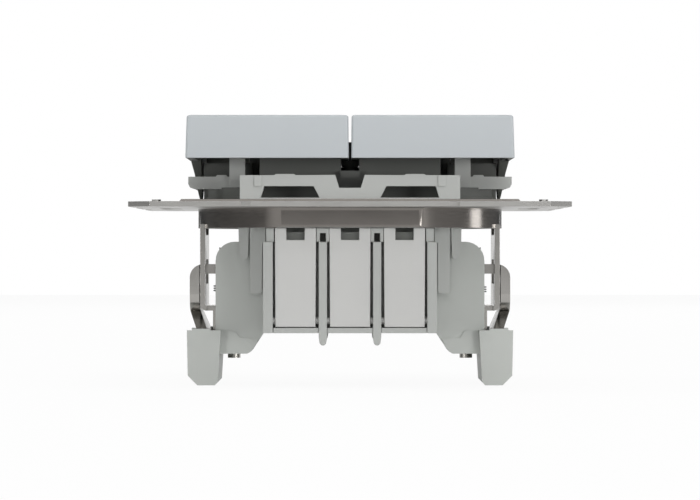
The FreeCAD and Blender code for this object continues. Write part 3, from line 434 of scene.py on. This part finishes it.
# The mesh that a tree makes out of the one given, as an object.
def grown(name, tree, mesh, values):
    obj = piece(name, mesh)
    modifier = obj.modifiers.new("form", "NODES")
    modifier.node_group = tree
    for socket in tree.interface.items_tree:
        if socket.in_out == "INPUT" and socket.name in values:
            modifier[socket.identifier] = values[socket.name]
    return settled(obj)


def finish_tree(tree, geometry, material):
    whole = add(tree, "GeometryNodeRealizeInstances", {}, {"Geometry": geometry})
    coloured = add(tree, "GeometryNodeSetMaterial", {"Material": material},
                   {"Geometry": whole.outputs["Geometry"]})
    add(tree, "NodeGroupOutput", {}, {"Geometry": coloured.outputs["Geometry"]})


STEPS_PER_TURN = 32
THREAD_SIDES = 4
WIRE_SIDES = 10
# The trees' inputs with their first values, in metres and turns
WINDING_INPUTS = {"Axis X": 0.0, "Foot Z": 0.0, "Radius": 0.003, "Height": 0.001, "Turns": 3.0,
                  "Section": 0.0002}


# The curve of a winding about an upright axis, and the section that is carried along it.
def winding(tree, given, sides):
    spiral = add(tree, "GeometryNodeCurveSpiral", {"Resolution": STEPS_PER_TURN},
                 {"Rotations": given["Turns"], "Start Radius": given["Radius"],
                  "End Radius": given["Radius"], "Height": given["Height"]})
    section = add(tree, "GeometryNodeCurvePrimitiveCircle", {"Resolution": sides},
                  {"Radius": given["Section"]})
    return spiral.outputs["Curve"], section.outputs["Curve"]


def swept(tree, curve, section):
    solid = add(tree, "GeometryNodeCurveToMesh", {"Fill Caps": True},
                {"Curve": curve, "Profile Curve": section})
    return solid.outputs["Mesh"]


# Moves the winding to its axis and foot, and joins it to the rest.
def joined_at_axis(tree, given, winding_mesh, rest):
    place = add(tree, "ShaderNodeCombineXYZ", {}, {"X": given["Axis X"], "Z": given["Foot Z"]})
    moved = add(tree, "GeometryNodeTransform", {},
                {"Geometry": winding_mesh, "Translation": place.outputs["Vector"]})
    both = add(tree, "GeometryNodeJoinGeometry", {}, {"Geometry": rest})
    tree.links.new(moved.outputs["Geometry"], both.inputs["Geometry"])
    return both.outputs["Geometry"]


# A screw's thread, laid on the shank that comes in.
def thread_tree():
    tree, given = geometry_tree("rolled_thread", WINDING_INPUTS)
    spiral, section = winding(tree, given, THREAD_SIDES)
    ridge = swept(tree, spiral, section)
    finish_tree(tree, joined_at_axis(tree, given, ridge, given["Geometry"]), materials["plated_screw"])
    return tree


# A return spring: turns about the screw, and a wire bent along the path that comes in.
def spring_tree():
    tree, given = geometry_tree("wound_spring", WINDING_INPUTS)
    spiral, section = winding(tree, given, WIRE_SIDES)
    coil = swept(tree, spiral, section)
    path = add(tree, "GeometryNodeMeshToCurve", {}, {"Mesh": given["Geometry"]})
    bent = add(tree, "GeometryNodeFilletCurve",
               {"mode": "POLY", "Radius": WIRE_BEND_R * MM, "Limit Radius": True, "Count": 4},
               {"Curve": path.outputs["Curve"]})
    wire = swept(tree, bent.outputs["Curve"], section)
    finish_tree(tree, joined_at_axis(tree, given, coil, wire), materials["spring_wire"])
    return tree


def claw_screw(tree, side, sx):
    node = "claw_screw_" + side
    height = THREAD_TOP - SCREW_END
    values = {"Axis X": sx * SCREW_X * MM, "Foot Z": SCREW_END * MM, "Radius": SCREW_CORE_R * MM,
              "Height": height * MM, "Turns": height / SCREW_PITCH, "Section": (SCREW_R - SCREW_CORE_R) * MM}
    obj = grown(node + "_finished", tree, merged(node, turn_down_shank), values)
    smooth_by_angle(obj.data, THREAD_SHARP_ANGLE)
    stands_for(obj, node)


def claw_spring(tree, side, sx):
    node = "claw_spring_" + side
    x = sx * SCREW_X
    out = x + sx * SHOULDER_X
    wire_top = SHOULDER_Z - WIRE_DROP
    rise = COIL_TURNS * COIL_PITCH
    path = [(x, -COIL_R, COIL_TOP), (x, WIRE_Y, COIL_TOP), (x, WIRE_Y, wire_top),
            (out, WIRE_Y, wire_top), (out, WIRE_Y, SHOULDER_Z), (out, WIRE_Y - HOOK_L, SHOULDER_Z)]
    mesh = bpy.data.meshes.new(node + "_finished")
    mesh.from_pydata([Vector(p) * MM for p in path], [(i, i + 1) for i in range(len(path) - 1)], [])
    values = {"Axis X": x * MM, "Foot Z": (COIL_TOP - rise) * MM, "Radius": COIL_R * MM, "Height": rise * MM,
              "Turns": COIL_TURNS, "Section": COIL_WIRE_R * MM}
    obj = grown(node + "_finished", tree, mesh, values)
    obj.data.shade_smooth()
    stands_for(obj, node)


for node, obj in nodes.items():
    obj.data.materials.clear()
    obj.data.materials.append(materials[FINISH[SLOT_OF[node]]])

# The collar's outside and the step get a darker steel: painted dark reflection and a painted shade line.
plate = painted(softened("support_plate", EDGE_R, round_collar_corners), "smooth_steel_painted_dark", painted_dark_faces)
painted(plate, "claw_strip", on_legs)
# The frame's walls, webs, bearings, rib and ring get dark grey plastic as painted shade.
painted(softened("carrier", EDGE_R, thicken_rib), "toggle_grey_and_painted_shade", frame_painted_shade)
# The housing wall's upper band behind the lever windows gets dark grey plastic as painted shade.
painted(softened("housing", EDGE_R, part_wall), "toggle_grey_and_painted_shade", wall_behind_window_painted_shade)
softened("rear_cover", EDGE_R)
threaded = thread_tree()
sprung = spring_tree()
for side, sx in SIDES:
    # A cap's ears and inside get dark grey plastic as painted shade.
    painted(softened("rocker_" + side, EDGE_R), "toggle_grey_and_painted_shade", cap_inside_painted_shade)
    softened("toggle_" + side, EDGE_R)
    softened("claw_guide_" + side, WIDE_EDGE_R)
    softened("claw_" + side, WIDE_EDGE_R)
    claw_screw(threaded, side, sx)
    claw_spring(sprung, side, sx)
for row in ROWS:
    for place in PLACES:
        lever = softened("release_lever_" + row + "_" + place, FINE_EDGE_R)
        # The sunk face in each lever's window gets dark grey plastic as painted shade.
        painted(lever, "toggle_grey_and_painted_shade", lever_window_painted_shade)


# The floor, the backdrop, the room, the lamps and the camera, with lengths in metres

FLOOR_HALF = 1.2
FLOOR_GAP = 0.00005
BACKDROP_HALF = 0.3
BACKDROP_Y = 1.2
BACKDROP_TOP = 0.6
CARD = "#F2F2F2"
FLOOR_GLOW = 0.94
BACKDROP_GLOW = 1.0

# The room's light level on its front and back, and what it is times on its left and right
ROOM_FRONT, ROOM_BACK = 0.42, 0.08
ROOM_LEFT, ROOM_RIGHT = 0.5, 1.4

# Each lamp's name, place, size, and power in watts; it faces the origin
LAMPS = (
    ("top", (0.0, -0.1, 0.7), (0.6, 0.6), 1.3),
    ("top_right", (0.3, -0.4, 0.6), (0.4, 0.4), 1.25),
    ("front", (0.1, -0.7, 0.24), (0.5, 0.2), 0.58),
    ("low_right", (0.42, -0.6, 0.03), (0.25, 0.12), 1.2),
    ("low_left", (-0.42, -0.6, 0.03), (0.12, 0.12), 0.8),
    ("right_side", (0.6, 0.2, 0.02), (0.14, 0.2), 0.34),
    ("left", (-0.7, 0.1, 0.45), (0.4, 0.4), 1.6),
    ("behind", (0.1, 0.75, 0.45), (0.5, 0.5), 1.8),
)

# The camera stands level in front of the part; its focal length and the picture's width are in pixels
CAMERA_PLACE = (0.0, -0.6077, -0.00693)
FOCAL_PX = 3600.0
WIDTH_PX = 700.0
SENSOR_MM = 36.0


# Pale card that camera, mirrored and refracted rays see as white; glow is how much of it glows for them.
def pale_card(name, glow):
    material, tree = new_material(name)
    path = add(tree, "ShaderNodeLightPath").outputs
    seen = add(tree, "ShaderNodeMath", {"operation": "MAXIMUM"},
               {0: path["Is Camera Ray"], 1: path["Is Glossy Ray"]})
    seen = add(tree, "ShaderNodeMath", {"operation": "MAXIMUM"},
               {0: seen.outputs[0], 1: path["Is Transmission Ray"]})
    part = add(tree, "ShaderNodeMath", {"operation": "MULTIPLY", 1: glow}, {0: seen.outputs[0]})
    card = add(tree, "ShaderNodeBsdfDiffuse", {"Color": srgb(CARD)})
    white = add(tree, "ShaderNodeEmission", {"Color": (1, 1, 1, 1), "Strength": 1.0})
    both = add(tree, "ShaderNodeMixShader", {},
               {0: part.outputs[0], 1: card.outputs["BSDF"], 2: white.outputs["Emission"]})
    add(tree, "ShaderNodeOutputMaterial", {}, {"Surface": both.outputs["Shader"]})
    return material


# A sheet between two edges, which run from -half to half along X at the given Y and Z.
def stage_plane(name, half, first, second, material):
    mesh = bpy.data.meshes.new(name)
    mesh.from_pydata([(-half, *first), (half, *first), (half, *second), (-half, *second)], [], [(0, 1, 2, 3)])
    mesh.materials.append(material)
    piece(name, mesh)


floor_z = cad_box[0][2] - FLOOR_GAP
stage_plane("floor", FLOOR_HALF, (-FLOOR_HALF, floor_z), (FLOOR_HALF, floor_z),
            pale_card("pale_floor", FLOOR_GLOW))
stage_plane("backdrop", BACKDROP_HALF, (BACKDROP_Y, floor_z), (BACKDROP_Y, BACKDROP_TOP),
            pale_card("pale_backdrop", BACKDROP_GLOW))

# A plain room, brightest in front and on the right, and darkest on the left behind.
world = bpy.data.worlds.new("studio")
bpy.context.scene.world = world
world.use_nodes = True
sky = world.node_tree
sky.nodes.clear()
ray = add(sky, "ShaderNodeTexCoord").outputs["Generated"]
along = add(sky, "ShaderNodeSeparateXYZ", {}, {"Vector": ray})


# Goes from start to end while the ray turns from an axis's negative end to its positive end.
def graded(axis, start, end):
    ramp = add(sky, "ShaderNodeMapRange", {"From Min": -1.0, "From Max": 1.0, "To Min": start, "To Max": end},
               {"Value": along.outputs[axis]})
    return ramp.outputs["Result"]


level = add(sky, "ShaderNodeMath", {"operation": "MULTIPLY"},
            {0: graded("Y", ROOM_FRONT, ROOM_BACK), 1: graded("X", ROOM_LEFT, ROOM_RIGHT)})
room = add(sky, "ShaderNodeBackground", {"Color": (1, 1, 1, 1)}, {"Strength": level.outputs["Value"]})
add(sky, "ShaderNodeOutputWorld", {}, {"Surface": room.outputs["Background"]})

scene = bpy.context.scene
for name, place, size, power in LAMPS:
    data = bpy.data.lights.new(name, "AREA")
    data.shape = "RECTANGLE"
    data.size, data.size_y = size
    data.energy = power
    lamp = bpy.data.objects.new(name, data)
    lamp.location = place
    lamp.rotation_euler = (-Vector(place)).to_track_quat("-Z", "Y").to_euler()
    scene.collection.objects.link(lamp)

scene.view_settings.view_transform = "Standard"
camera_data = bpy.data.cameras.new("camera")
camera_data.sensor_width = SENSOR_MM
camera_data.lens = FOCAL_PX / WIDTH_PX * SENSOR_MM
camera_data.clip_start = 0.01
camera = bpy.data.objects.new("camera", camera_data)
camera.location = CAMERA_PLACE
camera.rotation_euler = (math.radians(90), 0, 0)
scene.collection.objects.link(camera)
scene.camera = camera
